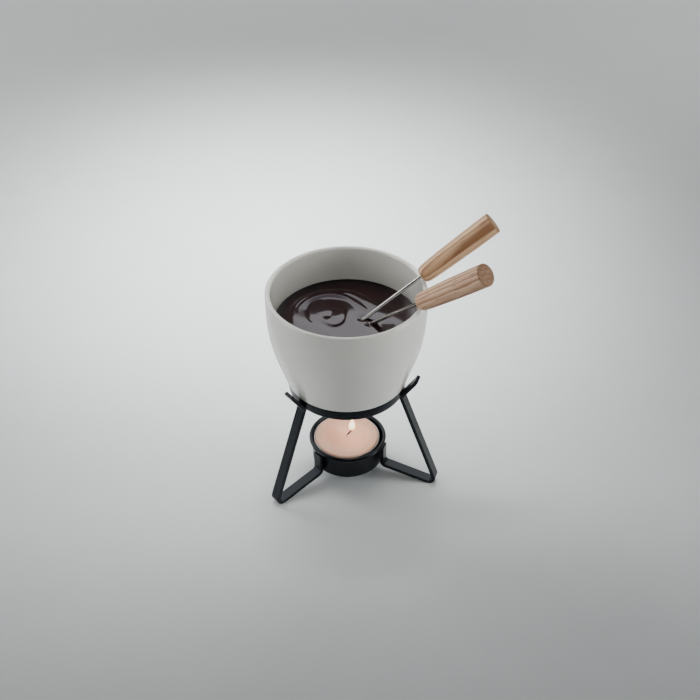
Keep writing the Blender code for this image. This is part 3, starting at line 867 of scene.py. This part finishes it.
def flame_lamp(name, flame, location, power, color):
    """A small warm lamp that rides with the flame."""
    data = bpy.data.lights.new(name, "POINT")
    data.energy = power
    data.color = color
    data.shadow_soft_size = 0.0022
    lamp = bpy.data.objects.new(name, data)
    lamp.parent = flame
    lamp.location = location
    bpy.context.scene.collection.objects.link(lamp)


# ---------------------------------------------------------------- pot and chocolate


def pot_inside(per_span):
    outer = smooth_curve(POT_OUTER, per_span)
    wall = [p for p in offset_inwards(outer, POT_WALL) if p[1] > POT_CORNER_Z]
    steps = 10
    corner = []
    for k in range(steps):
        a = math.pi / 2 * k / steps
        corner.append((POT_FLOOR_R + (wall[0][0] - POT_FLOOR_R) * math.sin(a),
                       POT_FLOOR_Z + (wall[0][1] - POT_FLOOR_Z) * (1 - math.cos(a))))
    return outer, corner + wall


def build_pot():
    outer, inner = pot_inside(8)
    base = POT_LOW.z
    shoulder = RING_HIGH.z + GAP
    edge = POT_FOOT_EDGE
    groove = POT_FOOT_GROOVE
    rim = POT_FOOT_R - POT_FOOT_RIM
    profile = [(0.0, base + groove), (rim - 2 * groove, base + groove)]
    profile += arc((rim, base + groove), groove, 180, 270, 4)
    profile += arc((POT_FOOT_R - edge, base + edge), edge, -90, 0, 6)
    profile += [(POT_FOOT_R, shoulder - 0.0002), (POT_FOOT_R + 0.0004, shoulder)]
    profile += [(POT_OUTER[0][0] - 0.0010, shoulder), (POT_OUTER[0][0] - 0.0004, shoulder + 0.00005)]
    profile += outer
    lip = (outer[-1][0] - POT_WALL / 2, POT_HIGH.z - POT_WALL / 2)
    profile += arc(lip, POT_WALL / 2, 0, 180, 18)
    profile += inner[::-1] + [(0.0, POT_FLOOR_Z)]
    finish_piece("glazed_pot", turned(profile, 240, closed=False), pot_glaze(), "pot",
                 ("pot",), angle=60)


def ridge_points(stops, count=90):
    """A smooth path through a few (x, y) stops in millimetres, as metres."""
    return np.array(smooth_curve([(x / 1000, y / 1000) for x, y in stops], count // len(stops)))


# Ribbons left by stirring: path (mm from the axis), height, inner and outer half width (mm)
RIDGES = (
    (((-24.0, -6.0), (-27.6, 0.5), (-29.0, 8.0), (-27.6, 15.0), (-23.0, 21.4), (-15.5, 26.2), (-6.0, 28.0),
      (2.0, 27.0), (8.5, 22.9), (13.2, 17.4), (16.8, 13.8)), 0.95, 4.6, 1.5),
    (((-20.6, 19.0), (-17.0, 22.4), (-9.0, 24.7), (-0.7, 22.6), (4.6, 18.0), (9.0, 13.0), (11.0, 10.4)),
     0.42, 1.8, 1.1),
    (((-15.5, -2.4), (-11.0, -7.4), (-6.4, -12.6), (0.5, -17.0)), 0.07, 1.4, 1.4),
    (((-13.4, 21.6), (-17.6, 19.6), (-20.2, 16.4), (-21.4, 11.5), (-20.4, 5.2), (-18.3, 0.4)),
     -0.34, 0.8, 0.8),
    (((-26.2, 8.0), (-26.6, 13.2), (-23.4, 18.9), (-20.0, 22.2)), -0.16, 0.5, 0.5),
)
# Outline of the last dollop (mm from the axis)
BLOB_EDGE = ((-16.6, 10.6), (-9.9, 13.0), (-4.2, 12.2), (-0.9, 9.6), (-0.6, 4.6), (-2.2, -0.6), (-6.0, -3.2),
             (-10.0, -1.8), (-13.5, 2.2), (-16.8, 6.6), (-16.6, 10.6))


def ridge_height(x, y, ridge):
    """A ribbon with its own slope on each side, fading out at both ends."""
    stops, height, inner, outer = ridge
    path = ridge_points(stops)
    gap = np.full(x.shape, 1.0)
    along = np.zeros(x.shape)
    for i, (px, py) in enumerate(path):
        d = np.hypot(x - px, y - py)
        nearer = d < gap
        gap[nearer] = d[nearer]
        along[nearer] = i
    near = path[along.astype(int)]
    outside = np.hypot(x, y) > np.hypot(near[..., 0], near[..., 1])
    width = np.where(outside, outer, inner) / 1000
    taper = np.clip(np.sin(np.pi * along / (len(path) - 1)), 0, 1) ** 0.6
    return height / 1000 * taper * np.exp(-(gap / width) ** 2)


def blob_height(x, y):
    """The last dollop: flush at its back and left, steep at its front and right."""
    edge = ridge_points(BLOB_EDGE, 110)
    cx, cy = edge.mean(0)
    angle = np.mod(np.arctan2(edge[:, 1] - cy, edge[:, 0] - cx), 2 * np.pi)
    reach = np.hypot(edge[:, 0] - cx, edge[:, 1] - cy)
    order = np.argsort(angle)
    a = np.mod(np.arctan2(y - cy, x - cx), 2 * np.pi)
    limit = np.interp(a, angle[order], reach[order], period=2 * np.pi)
    inside = np.hypot(x - cx, y - cy) / limit
    steep = np.clip(0.5 + 0.5 * np.cos(a - math.radians(-35)), 0, 1)
    body = 1 / (1 + np.exp((inside - 1.0) / (0.133 - 0.099 * steep)))
    return (0.00020 + 0.00075 * steep) * body


def bell(x, y, middle, reach):
    """A smooth bump of height 1 about a point, with its own reach along x and y."""
    return np.exp(-(((x - middle[0]) / reach[0]) ** 2 + ((y - middle[1]) / reach[1]) ** 2))


def chocolate_height(x, y, wall_r):
    """Height above the level of the stirred surface, in metres, at arrays of points."""
    r = np.hypot(x, y)
    z = MENISCUS_RISE * np.exp(-(wall_r - r) / MENISCUS_WIDTH)
    z += BOWL_RISE * (r / wall_r) ** 3
    for ridge in RIDGES:
        z += ridge_height(x, y, ridge)
    z += blob_height(x, y)
    for _, _, (shaft_x, shaft_y) in FORK_AXES.values():
        z -= SHAFT_DIP * bell(x, y, (shaft_x - SHAFT_DIP_BACK, shaft_y), SHAFT_DIP_REACH)
    z += SWELL_RISE * bell(x, y, SWELL_PLACE, SWELL_REACH)
    z -= DIMPLE_DEPTH * bell(x, y, DIMPLE_PLACE, DIMPLE_REACH)
    wave = np.sin(x * 230 + 2.2 * np.sin(y * 120)) * np.sin(y * 170 + 1.3)
    return z + 0.00006 * wave * np.exp(-(r / 0.033) ** 6)


def build_chocolate():
    _, inner = pot_inside(8)
    skin = offset_inwards(inner, GAP)
    low = max(i for i, p in enumerate(skin) if p[1] < FILL_Z)
    share = (FILL_Z - skin[low][1]) / (skin[low + 1][1] - skin[low][1])
    wall_r = skin[low][0] + share * (skin[low + 1][0] - skin[low][0])
    rounds, spokes = 130, 360
    radii = wall_r * (np.arange(1, rounds + 1) / rounds) ** 0.9
    angles = 2 * np.pi * np.arange(spokes) / spokes
    x = radii[:, None] * np.cos(angles)[None, :]
    y = radii[:, None] * np.sin(angles)[None, :]
    z = FILL_Z + chocolate_height(x, y, wall_r)
    bm = bmesh.new()
    middle = FILL_Z + float(chocolate_height(np.zeros(1), np.zeros(1), wall_r)[0])
    center = bm.verts.new((0, 0, middle))
    rings = [[bm.verts.new((x[i, k], y[i, k], z[i, k])) for k in range(spokes)] for i in range(rounds)]
    for r, height in skin[:low + 1][::-1]:
        rings.append([bm.verts.new((r * math.cos(a), r * math.sin(a), height)) for a in angles])
    for k in range(spokes):
        bm.faces.new((center, rings[0][k], rings[0][(k + 1) % spokes]))
    for a, b in zip(rings, rings[1:]):
        for k in range(spokes):
            j = (k + 1) % spokes
            bm.faces.new((a[k], b[k], b[j], a[j]))
    bm.faces.new(rings[-1])
    finish_piece("stirred_chocolate", bm, melted_chocolate(), "pot",
                 ("chocolate_fill",), angle=180)


# ---------------------------------------------------------------- forks


def fork_direction(name):
    azimuth, elevation, _ = FORK_AXES[name]
    a, e = math.radians(azimuth), math.radians(elevation)
    return Vector((math.cos(e) * math.cos(a), math.cos(e) * math.sin(a), math.sin(e)))


def fork_matrix(name):
    """Local X spreads the tines, Y is the head's flat side and Z runs up the handle."""
    up = fork_direction(name)
    flat = fork_direction("fork_2").cross(fork_direction("fork_1")).normalized()
    spread = flat.cross(up).normalized()
    x, y = FORK_AXES[name][2]
    turn = Matrix((spread, flat, up)).transposed().to_4x4()
    return Matrix.Translation(AXIS + Vector((x, y, FILL_Z))) @ turn


def head_outline(bottom):
    half = TINE_SPREAD
    inner = half - TINE_WIDTH
    root = bottom + TINE_LENGTH
    neck = root + HEAD_NECK
    side = [(half - 0.0004, root + 0.0018), (half - 0.0001, root + 0.0010), (half, root),
            (half, bottom + 0.0035), (half - 0.0002, bottom + 0.0016), (half - 0.0006, bottom),
            (half - 0.0010, bottom + 0.0016), (inner, bottom + 0.0035)]
    shoulder = [(SHAFT_R * 0.9, neck), (SHAFT_R * 1.15, neck - 0.0012)]
    slot = arc((0.0, root), inner, 0, 180, 16)
    right = shoulder + side
    return right + slot + [(-x, z) for x, z in right[::-1]]


def build_fork(name, wood):
    place = fork_matrix(name)
    start = FORK_HANDLE_START[name]
    end = start + HANDLE_LENGTH
    tip = end - FORK_LENGTH
    bore = SHAFT_R + GAP
    outer = smooth_curve(HANDLE_RADII, 5)
    profile = [(bore, start + 0.0012), (bore, start + 0.0002), (bore + 0.0003, start)]
    profile += [(r, start + z) for r, z in outer]
    profile += arc((HANDLE_RADII[-1][0] - HANDLE_EDGE, end - HANDLE_EDGE), HANDLE_EDGE, 20, 90, 4)
    profile += [(r, end) for r in (0.0042, 0.0028, 0.0014, 0.0)]
    profile += [(0.0, start + SHAFT_IN_HANDLE + GAP), (bore, start + SHAFT_IN_HANDLE + GAP)]
    bm = turned(profile, 72)
    finish_piece(name + "_grip", bm, wood, name, (name + "_handle",), matrix=place, angle=50)

    steel = bpy.data.materials.get("fork_steel") or fork_steel()
    neck = tip + TINE_LENGTH + HEAD_NECK
    profile = [(0.0, neck - 0.0030), (SHAFT_R * 0.75, neck - 0.0028), (SHAFT_R, neck - 0.0018),
               (SHAFT_R, neck + 0.010), (SHAFT_R, start), (SHAFT_R, start + SHAFT_IN_HANDLE - 0.0004),
               (SHAFT_R - 0.0004, start + SHAFT_IN_HANDLE), (0.0, start + SHAFT_IN_HANDLE)]
    rod = turned(profile, 40, closed=False)
    finish_piece(name + "_shaft", rod, steel, name, (name + "_tines",), matrix=place)
    bm = plate(head_outline(tip), HEAD_THICK)
    head = finish_piece(name + "_head", bm, steel, name, matrix=place)
    apply_bevel(head, HEAD_EDGE, 3, 50)


def build_forks():
    tan = turned_wood("turned_wood_tan", (0.80, 0.55, 0.33), (0.62, 0.38, 0.20), (0.30, 0.13, 0.055),
                      0.012, 0.4, 0.40, FORK_HANDLE_START["fork_1"] + HANDLE_LENGTH)
    rose = turned_wood("turned_wood_rose", (0.80, 0.54, 0.36), (0.61, 0.37, 0.225), (0.31, 0.15, 0.08),
                       0.015, 2.2, 0.75, FORK_HANDLE_START["fork_2"] + HANDLE_LENGTH)
    build_fork("fork_1", tan)
    build_fork("fork_2", rose)


# ---------------------------------------------------------------- the whole scene


def main():
    make_camera()
    make_studio()
    build_stand()
    build_tealight()
    build_pot()
    build_chocolate()
    build_forks()


main()
